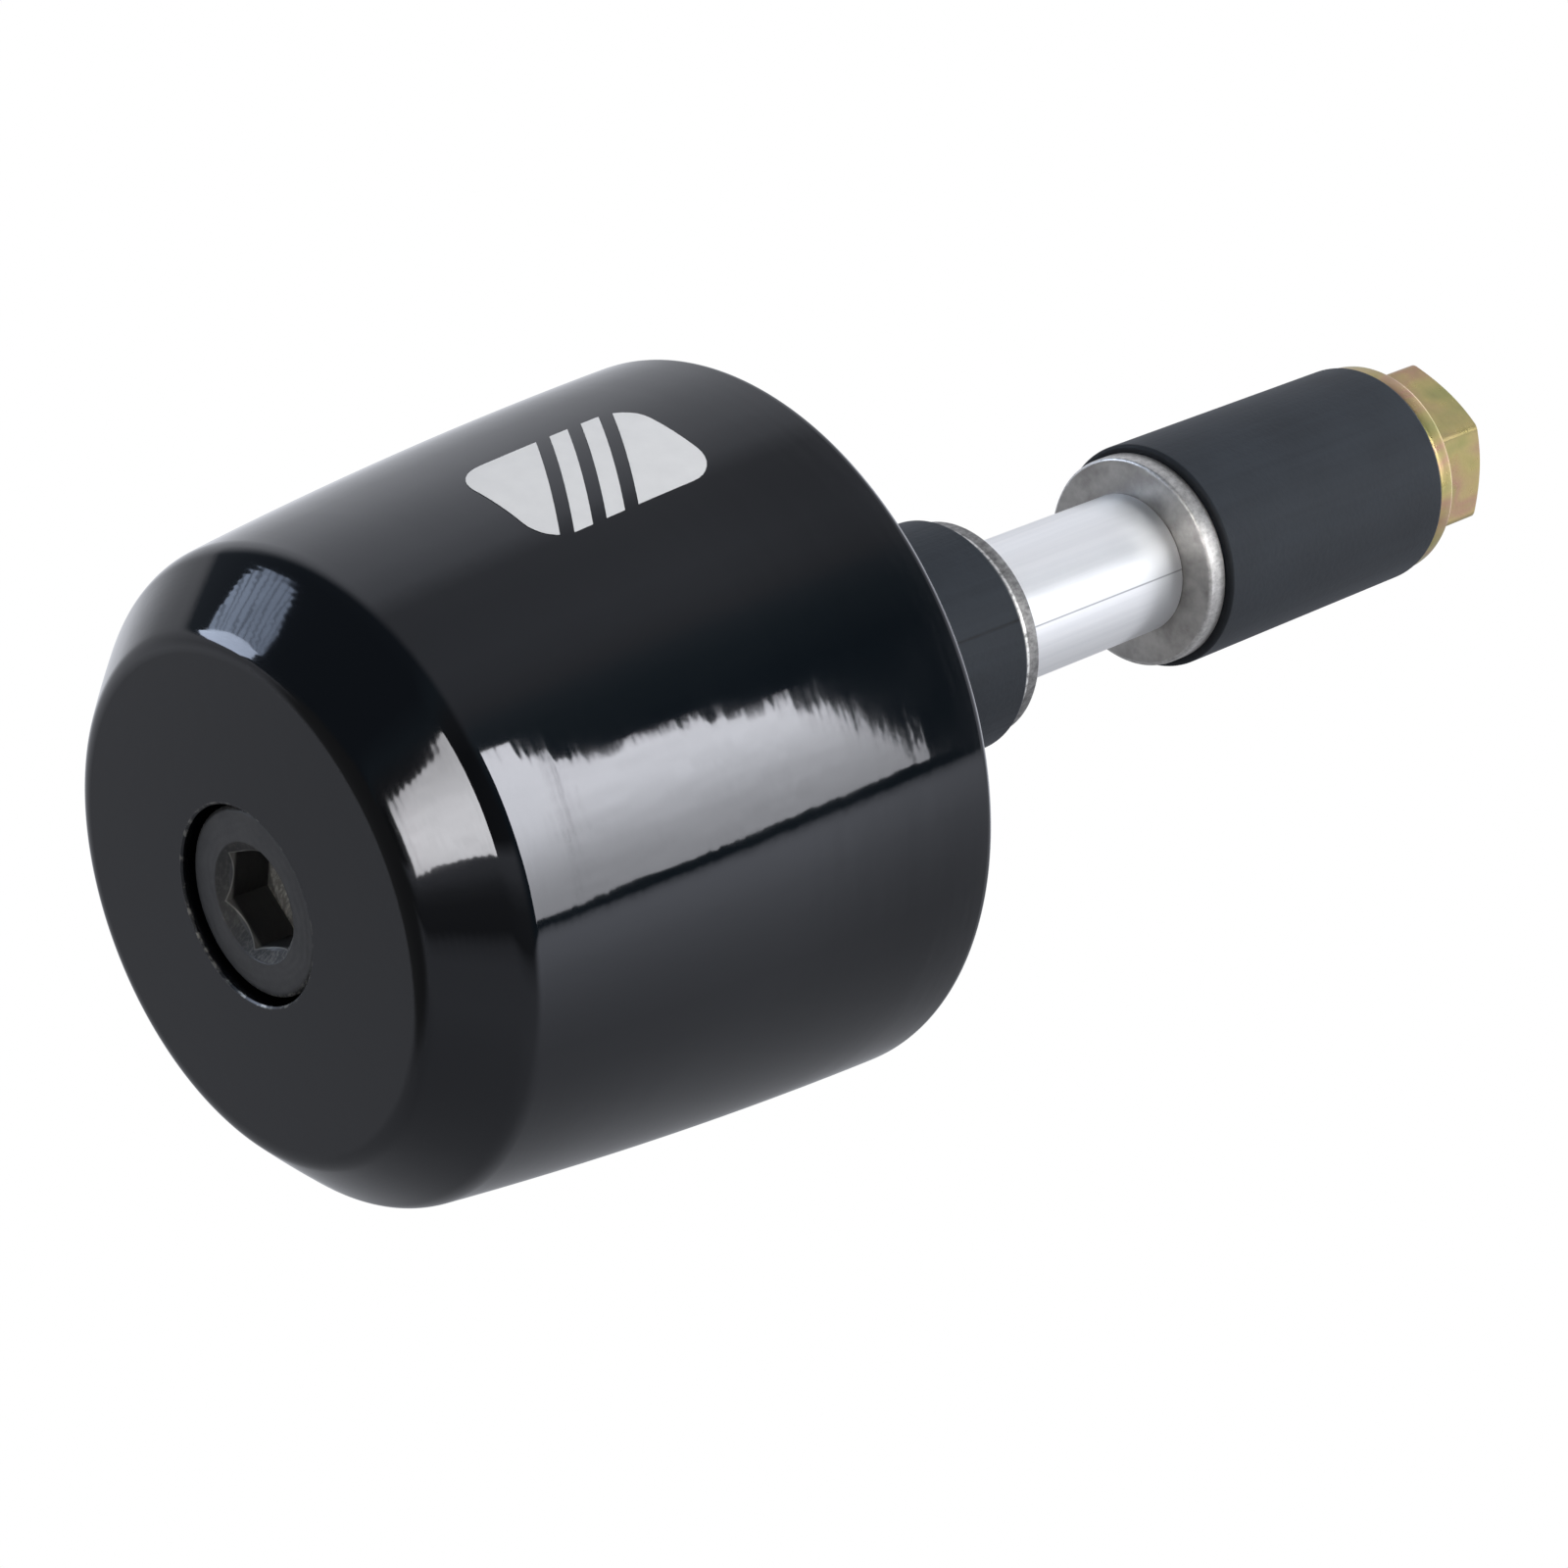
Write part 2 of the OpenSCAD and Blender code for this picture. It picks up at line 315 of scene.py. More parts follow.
def soften_ring(bm, radius, height, width, segments):
    """Rounds the circular edge at that radius and height."""
    on_ring = set(ring_verts(bm, radius, height))
    ring = [e for e in bm.edges if e.verts[0] in on_ring and e.verts[1] in on_ring]
    bmesh.ops.bevel(bm, geom=ring, offset=width * MM, offset_type='OFFSET', segments=segments,
                    profile=0.5, affect='EDGES', material=-1, clamp_overlap=True)


def to_hexagon(verts, flat, turn, rise=None):
    """Moves a ring of vertices onto a hexagon, and each to the height that rise gives for its radius."""
    for v in verts:
        around = math.atan2(v.co.y, v.co.x)
        r = flat / math.cos((around - turn) % (math.pi / 3) - math.pi / 6)
        z = rise(r) * MM if rise else v.co.z
        v.co = Vector((r * MM * math.cos(around), r * MM * math.sin(around), z))


socket_floor, flats_start = HEAD_TOP + SOCKET_DEPTH, HEAD_TOP + 0.5
thread = [(SHANK_R, THREAD_FROM + 0.08 * i) for i in range(29)]
bm = lathe([(0, socket_floor + CONE_DEEP), (0.35, socket_floor + 1.02), (CONE_R, socket_floor),
            (SOCKET_RING, socket_floor), (SOCKET_RING, flats_start), (SOCKET_MOUTH, HEAD_TOP),
            (HEAD_R, HEAD_TOP), (HEAD_R, HEAD_SEAT), (SHANK_R, HEAD_SEAT)] + thread
           + [(TIP_R, TIP), (0.2, TIP), (0, TIP)], 192)
to_hexagon(ring_verts(bm, SOCKET_RING, socket_floor), SOCKET_FLAT, SOCKET_TURN)
to_hexagon(ring_verts(bm, SOCKET_RING, flats_start), SOCKET_FLAT, SOCKET_TURN, lambda r: HEAD_TOP + SOCKET_MOUTH - r)
soften_ring(bm, HEAD_R, HEAD_TOP, HEAD_EDGE, 6)
groove_from = THREAD_FROM + 0.05
for v in bm.verts:
    z = v.co.z / MM
    r = math.hypot(v.co.x, v.co.y) / MM
    if z > groove_from and r > TIP_R - 0.1:
        turn = (z - math.atan2(v.co.y, v.co.x) / math.tau) % THREAD_PITCH
        flank = min(1, max(0, abs(turn - 0.5) * 2.4 - 0.35) / 0.85)
        cut = THREAD_DEEP * flank * min(1, (z - groove_from) / 0.6)
        r_new = min(r - cut * (r > 2.9), TIP_R + (TIP - z) * 1.1) if z > TIP - 0.6 else r - cut
        v.co.x, v.co.y = v.co.x * r_new / r, v.co.y * r_new / r

black_oxide, n, place = finish("black_oxide_steel", Base_Color=(0.04, 0.04, 0.043), Roughness=0.45,
                               Specular_IOR_Level=0.6)
grain = n.noise(place, 1800.0, 3.0, 0.6)
axes = n.axes(place)
across_flats = [n.math('ABSOLUTE', n.math('ADD', n.math('MULTIPLY', axes[0], math.cos(a)),
                                          n.math('MULTIPLY', axes[1], math.sin(a))))
                for a in (0, math.pi / 3, 2 * math.pi / 3)]
to_flat = n.math('MAXIMUM', n.math('MAXIMUM', across_flats[0], across_flats[1]), across_flats[2])
# The chamfered mouth is scraped by the key, and the bare steel is painted stronger towards +X as a painted highlight
# on the socket's lit side
in_mouth = n.between(axes[2], 0.00105, 0.001, 0.00051, 0.00056)
scrapes = n.noise(n.stretch(place, (1.0, 0.35, 0.6), rotation=(0, 0, 0.5)), 6500.0, 3.0, 0.7)
scraped = n.range(scrapes, 0.46, 0.74)
wear_and_side_highlight = n.range(axes[0], -0.0015, 0.0026, 0.08, 0.6)
wear_and_painted_highlight = n.math('MULTIPLY', n.math('MULTIPLY', in_mouth, scraped), wear_and_side_highlight)
edge_line = n.between(to_flat, 0.00246, 0.00249, 0.00256, 0.00253)
edge_line = n.math('MULTIPLY', n.math('MULTIPLY', edge_line, n.range(axes[2], 0.0013, 0.0011)), 0.35)
wear_and_painted_highlight = n.math('MAXIMUM', wear_and_painted_highlight, edge_line)
# Painted highlight: the socket's floor is painted mostly bare steel, so that it shows bright
painted_floor_highlight = n.between(axes[2], 0.00335, 0.0034, 0.005, 0.0049)
wear_and_painted_highlight = n.math('MAXIMUM', wear_and_painted_highlight, n.math('MULTIPLY', painted_floor_highlight, n.range(scraped, 0.0, 1.0, 0.35, 1.0)))
# Painted shade: the oxide is painted darker in the chamfered mouth and near black down the socket's walls, where
# shade falls in the recess
painted_socket_shade = n.math('MULTIPLY', n.range(axes[2], 0.00105, 0.00125), n.math('LESS_THAN', axes[2], 0.0036))
oxide_with_painted_shade = n.mix(in_mouth, n.mix(grain, OXIDE, OXIDE_GREY), (0.02, 0.02, 0.021))
oxide_with_painted_shade = n.mix(painted_socket_shade, oxide_with_painted_shade, (0.004, 0.004, 0.0045))
matt = n.range(n.noise(place, 500.0), 0.3, 0.7, 0.38, 0.55)
marks = n.add('ShaderNodeGroup', {"Place": place, "Pitch": 0.3, "Wander": 1.6}, node_tree=turning_marks)
relief = n.math('ADD', n.math('MULTIPLY', grain, 0.6), n.math('MULTIPLY', marks.outputs["Fine"], 0.25))
n.join(Base_Color=n.mix(wear_and_painted_highlight, oxide_with_painted_shade, BARE_STEEL),
       Metallic=n.math('MULTIPLY', wear_and_painted_highlight, 0.6),
       Roughness=n.math('MULTIPLY_ADD', in_mouth, 0.25, matt),
       Normal=n.bump(relief, 0.00002))
piece("cap_screw_long", bm, black_oxide, "cap_screw", sharp=24)


# Rubber sleeves: two lengths cut from one extruded tube, matt black with a bluish bloom.
# The die left fine lines along them, and the short one shows its parting line.
SLEEVE_R, SLEEVE_EDGE, STACK_BORE = 6.75, 0.25, 3.2
SHORT_FROM, SHORT_TO, LONG_FROM, LONG_TO = 32.4, 48.8, 65.8, 85.1


def tube(outer, start, end, edge, segments=5, first_edge=None):
    """A tube from start to end along the screw, with softened outer edges."""
    bm = lathe([(STACK_BORE, start), (outer, start), (outer, (start + end) / 2), (outer, end),
                (STACK_BORE, end)], 128, closed=True)
    soften_ring(bm, outer, start, first_edge or edge, segments)
    soften_ring(bm, outer, end, edge, segments)
    return bm


# Lines drawn along a tube by its die: streaks that run with Z and change round the tube
die_lines, g, given, result = effect("die_lines", {"Count": 900.0, "Break": 6.0}, ["Lines", "Cloud"])
axes = g.axes(given["Place"])
level = g.add('ShaderNodeCombineXYZ', {0: g.math('MULTIPLY', axes[0], given["Count"]),
                                       1: g.math('MULTIPLY', axes[1], given["Count"]),
                                       2: g.math('MULTIPLY', axes[2], given["Break"])}).outputs[0]
g.tree.links.new(g.noise(level, 1.0, 3.0, 0.65), result["Lines"])
g.tree.links.new(g.noise(given["Place"], 180.0, 4.0, 0.6), result["Cloud"])


def line_along(n, place, at, wander_scale, wander, half_wide):
    """1 on a thin line that runs along a tube at that angle, wandering a little, 0 elsewhere."""
    turned = n.axes(n.stretch(place, rotation=(0, 0, -at)))
    off_line = n.math('ABSOLUTE', n.math('ADD', turned[1], n.math('MULTIPLY', n.noise(place, wander_scale), wander)))
    return n.math('MULTIPLY', n.range(off_line, *half_wide, 1.0, 0.0), n.math('GREATER_THAN', turned[0], 0.0))


def black_rubber(name, seam_at, seam_strength, line_strength):
    """The rubber finish, with a parting line at that angle round the sleeve."""
    material, n, place = finish(name, Roughness=0.58, Specular_IOR_Level=0.245, Sheen_Weight=0.02,
                                Sheen_Roughness=0.4, Sheen_Tint=(0.75, 0.82, 1.0))
    lines = n.add('ShaderNodeGroup', {"Place": place, "Count": 1500.0, "Break": 40.0}, node_tree=die_lines).outputs
    tone = n.math('ADD', n.math('MULTIPLY', lines["Lines"], 0.45), n.math('MULTIPLY', lines["Cloud"], 0.55))
    colour = n.mix(n.range(tone, 0.3, 0.7), (0.0072, 0.0098, 0.0135), (0.013, 0.0175, 0.0235))
    seam = line_along(n, place, seam_at, 90.0, 0.00012, (0.00003, 0.00009))
    faint = n.range(n.noise(place, 500.0), 0.35, 0.6, 0.35, 1.0)
    seam = n.math('MULTIPLY', seam, n.math('MULTIPLY', faint, seam_strength))
    pores = n.math('MULTIPLY', n.noise(place, 3000.0), 0.35)
    height = n.math('ADD', n.math('MULTIPLY', lines["Lines"], line_strength), pores)
    n.join(Base_Color=n.mix(seam, colour, (0.0045, 0.005, 0.006)),
           Normal=n.bump(n.math('SUBTRACT', height, seam), 0.00003))
    return material


short_rubber = black_rubber("black_rubber_lined", math.radians(-35.5), 1.0, 1.2)
piece("rubber_sleeve_short", tube(SLEEVE_R, SHORT_FROM, SHORT_TO, SLEEVE_EDGE), short_rubber,
      "short_rubber_sleeve")


# Washers: two plain stamped steel washers, one on each end of the spacer tube. The press left
# a smooth rolled edge on one side and a torn, mottled band round the outside.
WASHER_R, WASHER_EDGE, INNER_WASHER_EDGE = 6.3, 0.15, 0.2
TUBE_FROM, TUBE_TO = 50.15, 64.45
washer_steel, n, place = finish("stamped_washer_steel", Metallic=1.0, Roughness=0.4)
axes = n.axes(place)
on_edge = n.range(n.radius(axes), 0.00606, 0.00614)
torn = n.noise(n.stretch(place, (1, 1, 0.7)), 2700.0, 4.0, 0.7)
unshaded_inner_washer = n.range(axes[2], 0.055, 0.06)
stain = n.range(n.noise(place, 620.0, 4.0, 0.6), 0.36, 0.64)
face_tone = n.mix(stain, (0.33, 0.316, 0.3), (0.49, 0.475, 0.452))
# Painted shade: the outer washer's edge band is painted darker than the inner washer's, for the shade beside the
# short sleeve
edge_tone = n.mix(n.range(torn, 0.36, 0.66), n.mix(unshaded_inner_washer, (0.14, 0.138, 0.136), (0.4, 0.39, 0.38)),
                  n.mix(unshaded_inner_washer, (0.3, 0.295, 0.285), (0.62, 0.61, 0.59)))
# Painted highlight: a thin light line round the outer washer's side, next to the short sleeve
painted_edge_highlight = n.between(axes[2], 0.04912, 0.04918, 0.04936, 0.04928)
edge_tone = n.mix(n.math('MULTIPLY', painted_edge_highlight, n.range(torn, 0.4, 0.55, 0.2, 1.0)), edge_tone, (0.75, 0.74, 0.72))
pits = n.math('ADD', n.math('MULTIPLY', n.math('MULTIPLY', torn, on_edge), 0.6),
              n.math('MULTIPLY', n.noise(place, 2600.0), 0.3))
n.join(Base_Color=n.mix(on_edge, face_tone, edge_tone),
       Roughness=n.range(torn, 0.35, 0.65, 0.5, 0.36),
       Normal=n.bump(pits, 0.00003))
piece("washer_outer", tube(WASHER_R, SHORT_TO, TUBE_FROM, WASHER_EDGE, 4), washer_steel,
      "outer_washer")


# Spacer tube: bright drawn aluminium that keeps the two washers apart. Drawing left fine
# lines along it, one darker scratch runs its whole length, and its inner end is rubbed dull.
TUBE_R, TUBE_EDGE, SCRATCH_AT = 4.2, 0.12, math.radians(-21.5)
drawn_aluminium, n, place = finish("drawn_aluminium", Metallic=0.9, Roughness=0.25)
lines = n.add('ShaderNodeGroup', {"Place": place, "Count": 2600.0, "Break": 30.0}, node_tree=die_lines).outputs
scratch = line_along(n, place, SCRATCH_AT, 60.0, 0.00006, (0.000015, 0.00007))
bright = n.mix(n.range(lines["Lines"], 0.3, 0.7), (0.85, 0.855, 0.865), (0.93, 0.93, 0.935))
rubbed = n.range(n.axes(place)[2], 0.0604, 0.0636, smooth=True)
bright = n.mix(rubbed, bright, (0.69, 0.7, 0.715))
satin = n.range(lines["Lines"], 0.3, 0.7, 0.32, 0.285)
n.join(Base_Color=n.mix(n.math('MULTIPLY', scratch, 0.75), bright, (0.22, 0.23, 0.25)),
       Roughness=n.math('MULTIPLY_ADD', rubbed, 0.1, satin),
       Metallic=n.math('MULTIPLY_ADD', rubbed, -0.5, 0.9),
       Normal=n.bump(lines["Lines"], 0.000006))
piece("spacer_tube_drawn", tube(TUBE_R, TUBE_FROM, TUBE_TO, TUBE_EDGE, 3), drawn_aluminium,
      "spacer_tube")


# Inner washer and long sleeve: the same steel and rubber as before, on the other end of the
# spacer tube. The long sleeve is the one that the nut squeezes until it grips.
piece("washer_inner", tube(WASHER_R, TUBE_TO, LONG_FROM, WASHER_EDGE, 4, INNER_WASHER_EDGE), washer_steel,
      "inner_washer")
long_rubber = black_rubber("black_rubber_plain", math.radians(140), 0.6, 0.5)
piece("rubber_sleeve_long", tube(SLEEVE_R, LONG_FROM, LONG_TO, SLEEVE_EDGE), long_rubber,
      "long_rubber_sleeve")


# Flange nut: a hexagon with a built-in washer, in yellow passivated zinc that runs from gold
# to pink and green. It squeezes the long sleeve when the screw is turned.
NUT_TOP, NUT_FLAT, NUT_END_R, NUT_TURN, NUT_RING = LONG_TO + 6.0, 5.0, 4.62, math.radians(17), 5.6
FLANGE_R, FLANGE_TOP, FLANGE_SLOPE = 6.55, LONG_TO + 1.2, math.tan(math.radians(25))
NUT_BORE, NUT_MOUTH, END_SLOPE, NUT_CORNER = 3.03, 3.43, math.tan(math.radians(30)), 0.22
flats_from, flats_to = LONG_TO + 2.0, NUT_TOP - 0.5
bm = lathe([(NUT_MOUTH, LONG_TO), (FLANGE_R, LONG_TO), (FLANGE_R, FLANGE_TOP), (NUT_RING, flats_from),
            (NUT_RING, flats_to), (NUT_END_R, NUT_TOP), (NUT_MOUTH, NUT_TOP), (NUT_BORE, NUT_TOP - 0.4),
            (NUT_BORE, LONG_TO + 0.4)], 192, closed=True)
to_hexagon(ring_verts(bm, NUT_RING, flats_from), NUT_FLAT, NUT_TURN,
           lambda r: FLANGE_TOP + (FLANGE_R - r) * FLANGE_SLOPE)
to_hexagon(ring_verts(bm, NUT_RING, flats_to), NUT_FLAT, NUT_TURN,
           lambda r: NUT_TOP - max(0, r - NUT_END_R) * END_SLOPE)
soften_ring(bm, FLANGE_R, LONG_TO, 0.25, 4)
soften_ring(bm, FLANGE_R, FLANGE_TOP, 0.16, 4)
upright = [e for e in bm.edges if len(e.link_faces) == 2 and abs(e.verts[0].co.z - e.verts[1].co.z) > 1.5 * MM
           and e.calc_face_angle() > math.radians(30)]
bmesh.ops.bevel(bm, geom=upright, offset=NUT_CORNER * MM, offset_type='OFFSET', segments=3, profile=0.5,
                affect='EDGES', material=-1, clamp_overlap=True)

yellow_zinc, n, place = finish("yellow_zinc", Metallic=1.0, Roughness=0.32)
film = n.noise(n.stretch(place, (1, 1, 0.5)), 330.0, 2.0, 0.45, 0.3)
cloud = n.noise(n.stretch(place, (1, 1, 0.7), location=(0.03, 0.01, 0.02)), 900.0, 3.0, 0.6)
tint = n.ramp(film, [(0.32, (0.37, 0.35, 0.13)), (0.42, (0.49, 0.4, 0.165)), (0.5, (0.5, 0.365, 0.18)),
                     (0.57, (0.47, 0.285, 0.19)), (0.66, (0.42, 0.36, 0.15))])
n.join(Base_Color=n.mix(n.range(cloud, 0.35, 0.8, 0.0, 0.5), tint, (0.34, 0.3, 0.15)),
       Roughness=n.range(cloud, 0.3, 0.7, 0.24, 0.42),
       Normal=n.bump(n.noise(place, 1500.0, 3.0), 0.00002))
piece("flange_nut_zinc", bm, yellow_zinc, "flange_nut", sharp=24)


# Studio cards: lit cards of the shapes that the lamps and the window show in the gloss coat.
# They are seen only in reflections. Angles are round Z from +X and up from the floor.
CARDS_MIDDLE = Vector((0, 0, 0.02))


def toward(around, up, distance):
    around, up = math.radians(around), math.radians(up)
    return Vector((math.cos(around) * math.cos(up), math.sin(around) * math.cos(up), math.sin(up))) * distance


def on_turn(stops):
    """Stops given at angles round Z, for a ramp that takes a share of a turn from -180 degrees."""
    return [((around + 180) / 360, value) for around, value in stops]


def glow_card(name, outline, colour, strength, stops=None, slats=0, distance=1.5, soft_rim=None):
    """A lit card with its corners given as (around, up). The stops, if any, are (around, strength)
    and make it brighter on one side; slats is a count of thin bars per turn; soft_rim gives the
    distances from the screw between which it fades out."""
    mesh = bpy.data.meshes.new(name)
    dense = [((1 - t) * a + t * b, (1 - t) * u + t * v)
             for (a, u), (b, v) in zip(outline, outline[1:] + outline[:1])
             for t in (k / 8 for k in range(8 if abs(a - b) < 180 else 1))]
    mesh.from_pydata([toward(a, u, distance) + CARDS_MIDDLE for a, u in dense], [], [list(range(len(dense)))])
    card = bpy.data.objects.new(name, mesh)
    bpy.context.scene.collection.objects.link(card)
    material = bpy.data.materials.new(name)
    material.use_nodes = True
    nodes = Nodes(material.node_tree)
    nodes.tree.nodes.remove(nodes.tree.nodes["Principled BSDF"])
    cloth = nodes.add('ShaderNodeTexCoord').outputs['Object']
    at = nodes.axes(cloth)
    around = nodes.math('DIVIDE', nodes.math('ARCTAN2', at[1], at[0]), math.tau)
    weave = nodes.noise(nodes.stretch(cloth, (1, 1, 6)), 11.0, 3.0)
    level = nodes.range(weave, 0.3, 0.7, 0.92 * strength, 1.08 * strength)
    if stops:
        side_light = nodes.ramp(nodes.math('ADD', around, 0.5), on_turn([(a, v / strength) for a, v in stops]))
        level = nodes.math('MULTIPLY', level, side_light)
    if slats:
        sag = nodes.math('MULTIPLY', nodes.noise(cloth, 9.0, 3.0), 14.0)
        wave = nodes.math('SINE', nodes.math('MULTIPLY_ADD', around, slats * math.tau, sag))
        level = nodes.math('MULTIPLY', level, nodes.range(wave, 0.2, 0.9, 1.1, 0.55))
    lit = nodes.add('ShaderNodeEmission', {'Color': (*colour, 1), 'Strength': level}).outputs[0]
    if soft_rim:
        clear = nodes.add('ShaderNodeBsdfTransparent').outputs[0]
        veil = nodes.range(nodes.radius(at), *soft_rim, smooth=True)
        lit = nodes.add('ShaderNodeMixShader', {0: veil, 1: lit, 2: clear}).outputs[0]
    nodes.tree.links.new(lit, nodes.tree.nodes["Material Output"].inputs[0])
    mesh.materials.append(material)
    card.visible_camera = card.visible_diffuse = card.visible_shadow = card.visible_transmission = False


LAMP_WHITE = (0.995, 0.99, 1.0)
front_stops = [(-60, 14.5), (-40, 13.5), (-36, 13), (-32, 11.7), (-28, 9.8), (-24, 8.4), (-20, 7.0), (-16, 6.1),
               (-12, 5.4), (-4, 4.8)]
glow_card("softbox_front",
          [(-54, 20.3), (-50, 20.9), (-47.6, 21.9), (-44, 23.1), (-48, 23.7), (-46, 24.6), (-44, 25.1),
           (-47.8, 25.5), (-44, 26.4), (-41, 27.5), (-44, 27.9), (-39, 28.8), (-44.3, 29.6), (-38, 30.1),
           (-34, 31.2), (-28, 32.1), (-21, 33.2), (-9.8, 34.2), (-9, 32), (-8.4, 28), (-7, 25.8),
           (-7.4, 22.5), (-5.6, 20.3)], LAMP_WHITE, 14.5, front_stops)
# The same lamp's lower part, as a strip so near that only the side's first millimetre shows it
glow_card("softbox_lip", [(-58.8, 12), (-58.8, 14.9), (-53.8, 15.5), (-51.3, 15.8), (-7.4, 15.8), (-6.4, 12)],
          LAMP_WHITE, 14.5, front_stops, distance=0.206)
glow_card("softbox_low",
          [(-74, -43), (-76, -48), (-74, -49.7), (-71, -50.3), (-69.2, -51.6), (-67.3, -54.2), (-64, -56.7),
           (-54, -58.4), (-36, -58.8), (-24, -57.9), (-27.5, -56), (-27.2, -53.7), (-26.8, -51.5),
           (-26.5, -48), (-27, -43), (-45, -42), (-60, -42)], (1.01, 0.985, 0.96), 14.0,
          [(-80, 8.0), (-64, 9.5), (-57, 11), (-51, 12.7), (-44, 13.6), (-36, 13.4), (-24, 12.0)])
glow_card("window_blind",
          [(-168, -18), (-166.3, -15.6), (-163.2, -14.7), (-159.2, -16.4), (-152.3, -20.5), (-148, -23.3),
           (-145, -26), (-143.8, -28.5), (-143.6, -31), (-147, -34), (-158, -38), (-170, -38), (-172, -28)],
          (0.84, 1.0, 1.28), 2.6, slats=150)
glow_card("window_glare",
          [(-176, -30), (-171, -17), (-168.8, -17), (-160.3, -21.6), (-151, -28), (-148, -33), (-158, -40),
           (-168, -44), (-178, -43)], (0.88, 1.0, 1.22), 6.5, distance=1.45)
# A dim glowing disc under the part that stands in for the floor in the part's shadow, so that its bevel mirrors
# something dark from behind: a painted reflection of shade
glow_card("painted_floor_shade", [(a, -58.2) for a in range(0, 360, 15)], (1, 1, 1), 0.15, distance=0.0588,
          soft_rim=(0.019, 0.0305))


# Room: what the coat mirrors away from the cards, in three bands that blend from below to
# above. It is bright overhead and dark on the photographer's side. The camera sees plain white.
world = bpy.data.worlds.new("white_room")
bpy.context.scene.world = world
world.use_nodes = True
w = Nodes(world.node_tree)
for node in list(world.node_tree.nodes):
    world.node_tree.nodes.remove(node)
axes = w.axes(w.add('ShaderNodeTexCoord').outputs['Generated'])
around = w.math('ADD', w.math('DIVIDE', w.math('ARCTAN2', axes[1], axes[0]), math.tau), 0.5)
leaning = w.math('ADD', around, w.math('MULTIPLY_ADD', axes[2], 0.036, -0.0195))
high = w.ramp(around, on_turn([
    (-180, 0.7), (-146, 0.84), (-110, 0.78), (-80, 0.76), (-58, 0.62), (-48, 0.7), (-40, 1.0), (-20, 1.05),
    (-8, 1.0), (3, 0.95), (18, 0.86), (40, 0.76), (58, 0.66), (80, 0.56), (103, 0.5), (140, 0.6), (180, 0.7)]))
lower = w.ramp(around, on_turn([
    (-180, 0.62), (-177.5, 0.58), (-174.5, (0.13, 0.15, 0.17)), (-143, (0.1, 0.12, 0.14)),
    (-93, (0.1, 0.12, 0.14)), (-81, (0.14, 0.18, 0.2)), (-72, 0.14), (-60, 0.08), (-32, 0.1), (-27, 0.6),
    (-21, 0.5), (-15, 0.28), (-9, 0.18), (3, 0.15), (9, 0.4), (16, 0.5), (33, 0.5), (45, 0.44), (57, 0.4),
    (81, 0.35), (99, 0.36), (120, 0.36), (132, 0.42), (140, 0.42), (147, 0.55), (156, 0.64), (171, 0.52),
    (180, 0.6)]))
upper = w.ramp(leaning, on_turn([
    (-180, 0.86), (-165, 0.95), (-135, 0.94), (-124, 0.8), (-119, 0.6), (-115, 0.47), (-105, 0.47),
    (-90, 0.52), (-81, 0.48), (-75, 0.4), (-69, (0.24, 0.28, 0.3)), (-63, (0.15, 0.2, 0.22)),
    (-50, (0.07, 0.11, 0.135)), (-10, (0.06, 0.1, 0.125)), (-5, (0.08, 0.12, 0.145)), (-3.9, 1.4), (-1, 1.6),
    (5, 1.38), (11, 1.1), (17, 0.92), (23, 0.77), (29, 0.66), (38, 0.54), (50, 0.47), (65, 0.44), (90, 0.41),
    (115, 0.38), (125, 0.4), (140, 0.7), (152, 1.05), (165, 0.92), (180, 0.86)]))
upper = w.mix(w.range(axes[2], 0.5, 0.58, 0.0, 0.22), upper, (0, 0, 0))
room = w.mix(w.range(axes[2], -0.08, 0.3, smooth=True), lower, upper)
room = w.mix(w.range(axes[2], 0.57, 0.68, smooth=True), room, high)
room = w.mix(w.range(axes[2], 0.84, 0.93, smooth=True), room, (2.2, 2.2, 2.25))
room = w.mix(1.0, room, (0.97, 0.995, 1.065), 'MULTIPLY')
room_light = w.add('ShaderNodeBackground', {'Color': room, 'Strength': 1.0}).outputs[0]
white = w.add('ShaderNodeBackground', {'Color': (1, 1, 1, 1), 'Strength': 1.0}).outputs[0]
seen = w.add('ShaderNodeLightPath').outputs['Is Camera Ray']
both = w.add('ShaderNodeMixShader', {0: seen, 1: room_light, 2: white}).outputs[0]
w.add('ShaderNodeOutputWorld', {0: both})


# Floor: a plain pale sheet just under the outer face. Only the camera sees it, from above and
# near the part, so it takes the shadow and then runs out into the white.
floor_mesh = bpy.data.meshes.new("pale_floor")
floor_mesh.from_pydata([(x, y, -0.0001) for x, y in ((-4, -4), (4, -4), (4, 4), (-4, 4))], [], [(0, 1, 2, 3)])
floor = bpy.data.objects.new("pale_floor", floor_mesh)
bpy.context.scene.collection.objects.link(floor)
floor_paint, f, place = finish("pale_floor", Base_Color=(0.9, 0.9, 0.9), Roughness=0.9, Specular_IOR_Level=0.1)
from_above = f.math('SUBTRACT', 1.0, f.add('ShaderNodeNewGeometry').outputs['Backfacing'])
solid_floor = f.math('MULTIPLY', f.add('ShaderNodeLightPath').outputs['Is Camera Ray'], from_above)
off_centre = f.add('ShaderNodeVectorMath', {0: place}, operation='LENGTH').outputs['Value']
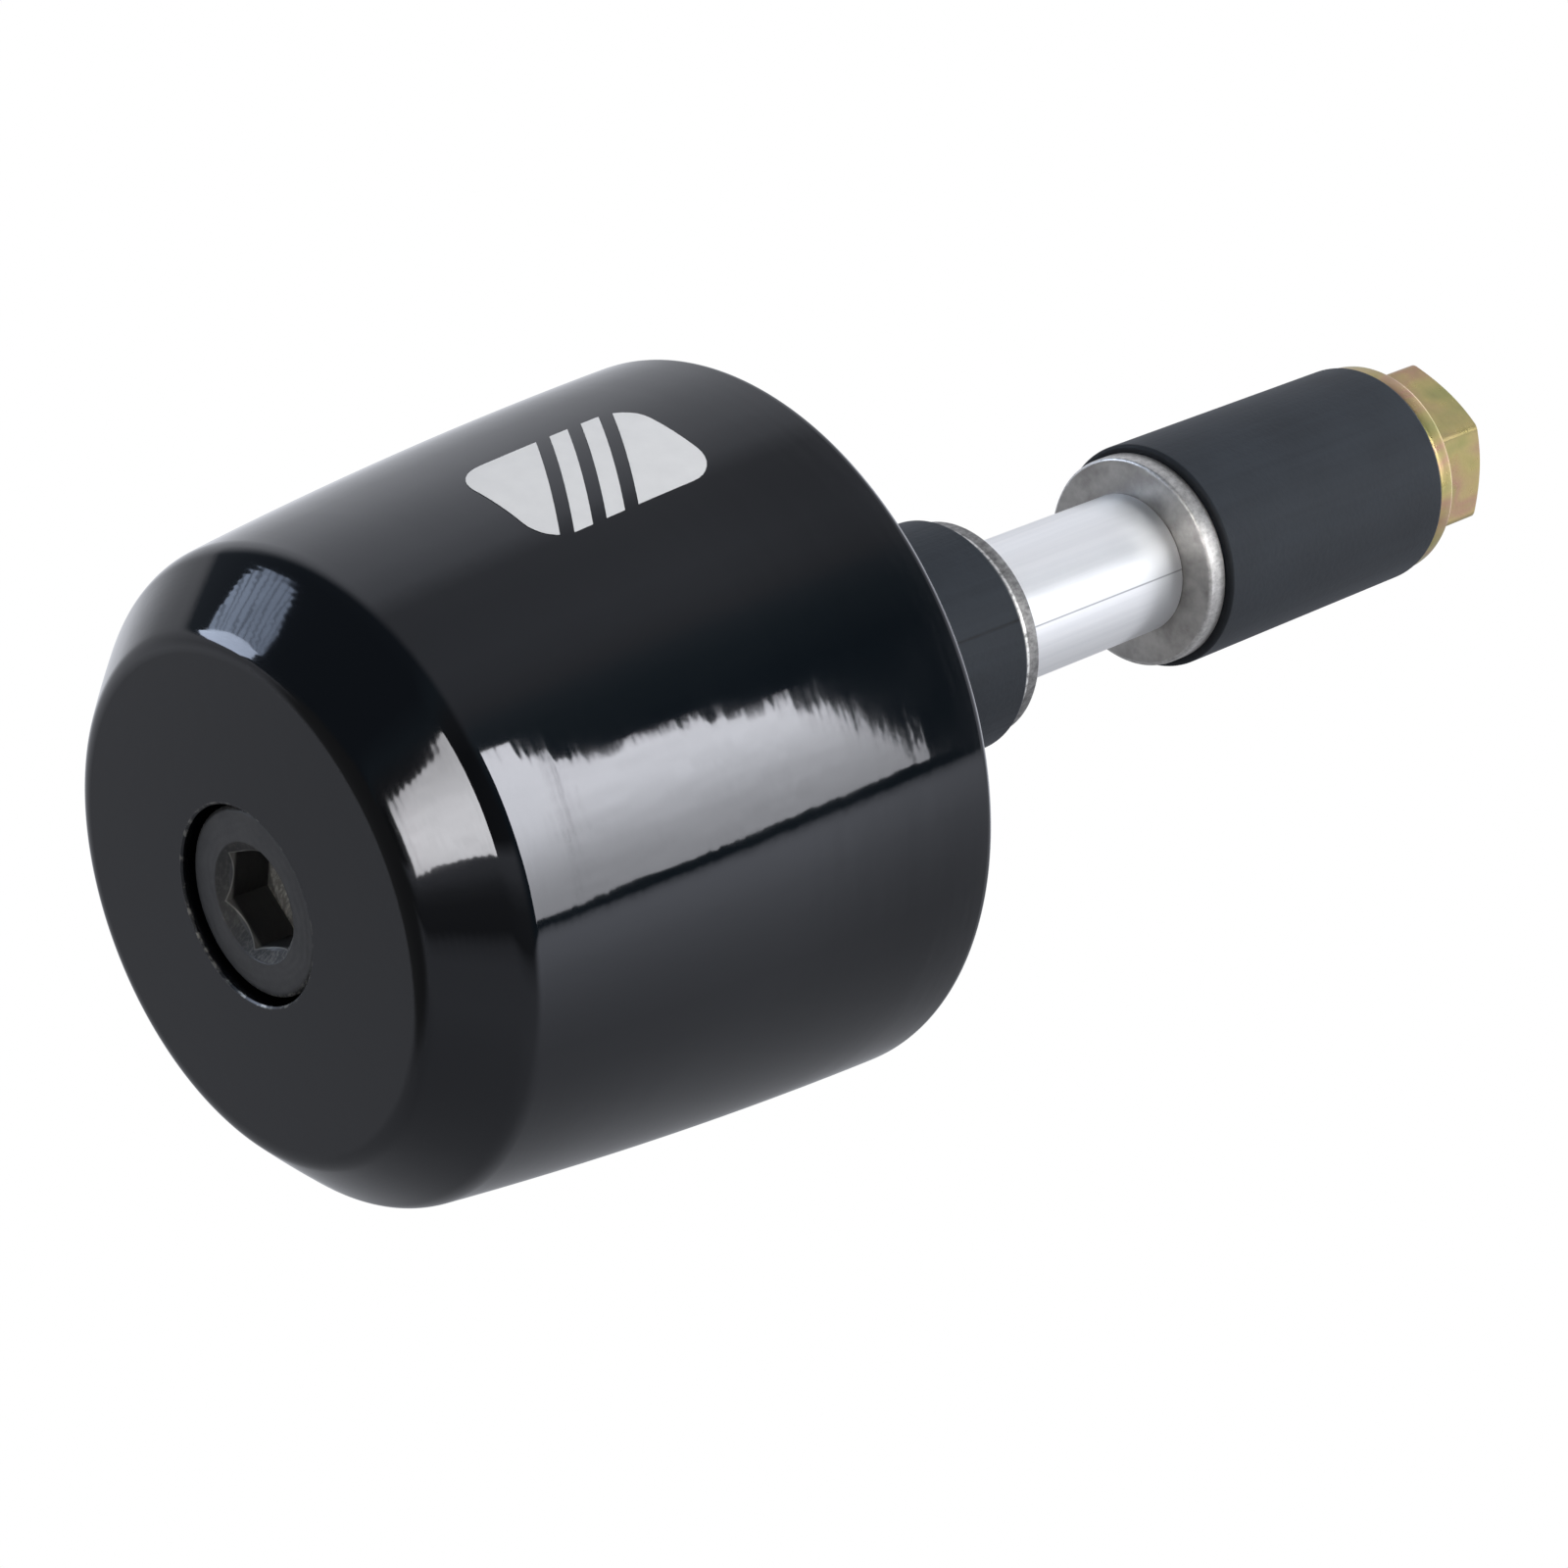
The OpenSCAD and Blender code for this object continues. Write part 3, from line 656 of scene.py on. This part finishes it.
solid_floor = f.math('MULTIPLY', solid_floor, f.range(off_centre, 0.1, 0.32, 1.0, 0.0, smooth=True))
clear = f.add('ShaderNodeBsdfTransparent').outputs[0]
painted = f.tree.nodes["Principled BSDF"].outputs[0]
floor_mix = f.add('ShaderNodeMixShader', {0: solid_floor, 1: clear, 2: painted}).outputs[0]
f.tree.links.new(floor_mix, f.tree.nodes["Material Output"].inputs[0])
floor_mesh.materials.append(floor_paint)


# Lamps and camera: two soft square lamps that light the part and don't show in its gloss, and
# the photograph's long lens.
PART_MIDDLE = Vector((0, 0, 0.045))
FOCAL_PX, FRAME_PX, SENSOR_MM = 4409, 1600, 36


def lamp(name, around, up, distance, size, power):
    """A square area lamp that faces the part."""
    light = bpy.data.lights.new(name, 'AREA')
    light.energy, light.size = power, size
    obj = bpy.data.objects.new(name, light)
    bpy.context.scene.collection.objects.link(obj)
    out = toward(around, up, distance)
    obj.matrix_world = Matrix.Translation(out + PART_MIDDLE) @ out.to_track_quat('Z', 'Y').to_matrix().to_4x4()
    obj.visible_camera = obj.visible_glossy = False


lamp("key_lamp", -75, 40, 1.0, 0.7, 14.0)
lamp("top_lamp", 60, 78, 1.0, 0.8, 16.0)

scene = bpy.context.scene
scene.view_settings.view_transform = 'Standard'
camera_data = bpy.data.cameras.new("photo_camera")
camera_data.sensor_width = SENSOR_MM
camera_data.lens = FOCAL_PX / FRAME_PX * SENSOR_MM
camera_data.clip_start, camera_data.clip_end = 0.01, 20
camera = bpy.data.objects.new("photo_camera", camera_data)
scene.collection.objects.link(camera)
scene.camera = camera
# The camera was solved with its own X and Y, which are turned 46.5 degrees from the part's
turned = Matrix.Rotation(math.radians(46.5), 3, 'Z')
right = turned @ Vector((0.37622, -0.57752, 0.72452))
up = turned @ -Vector((0.92653, 0.23450, -0.29419))
back = right.cross(up)
spot = turned @ (Vector((4.389, -182.885, -111.499)) * MM)
camera.matrix_world = Matrix.Translation(spot) @ Matrix((right, up, back)).transposed().to_4x4()
